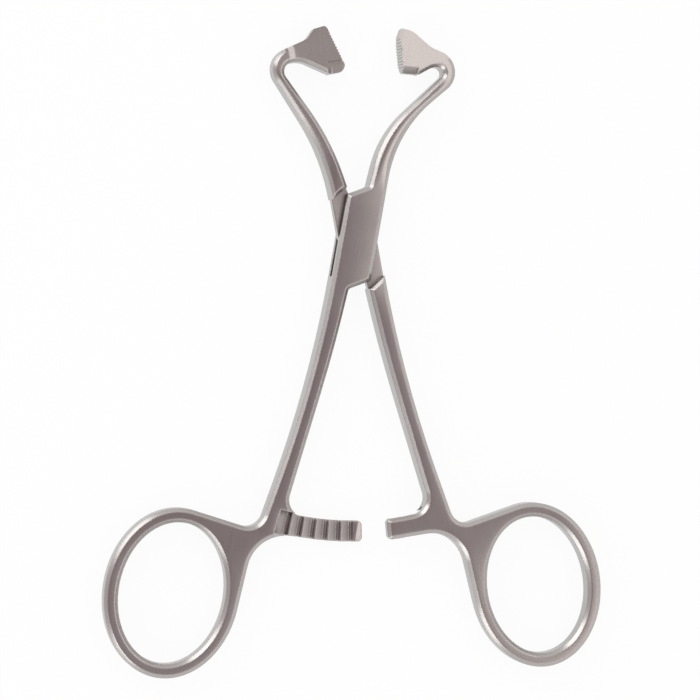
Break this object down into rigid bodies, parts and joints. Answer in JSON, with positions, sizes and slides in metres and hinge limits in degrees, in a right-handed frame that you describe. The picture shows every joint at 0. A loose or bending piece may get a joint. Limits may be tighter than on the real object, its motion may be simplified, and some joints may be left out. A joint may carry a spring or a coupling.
{
  "type": "towel clamp",
  "caption": "Ring-handled surgical towel clamp with a box lock, inward-hooked jaws with grooved blunt grips and a ratchet between the shanks.",
  "frame": {"origin": "on the pivot axis, in the plane of the box lock's underside", "axes": "+Y from the pivot towards the jaws, midway between them; +Z along the pivot axis towards the front; +X towards the box half's jaw"},
  "size_m": [0.1004, 0.1267, 0.0054],
  "materials": {
    "satin_steel": "satin"
  },
  "bodies": {
    "box_side": {"box_half": "satin_steel", "pivot_pin": "satin_steel"},
    "tongue_side": {"tongue_half": "satin_steel"}
  },
  "joints": [
    {"name": "box_lock", "type": "hinge", "parent": "box_side", "child": "tongue_side", "pos_m": [0, 0, 0.0027], "axis": [0, 0, 1], "range_deg": [-20.1, 45]}
  ]
}
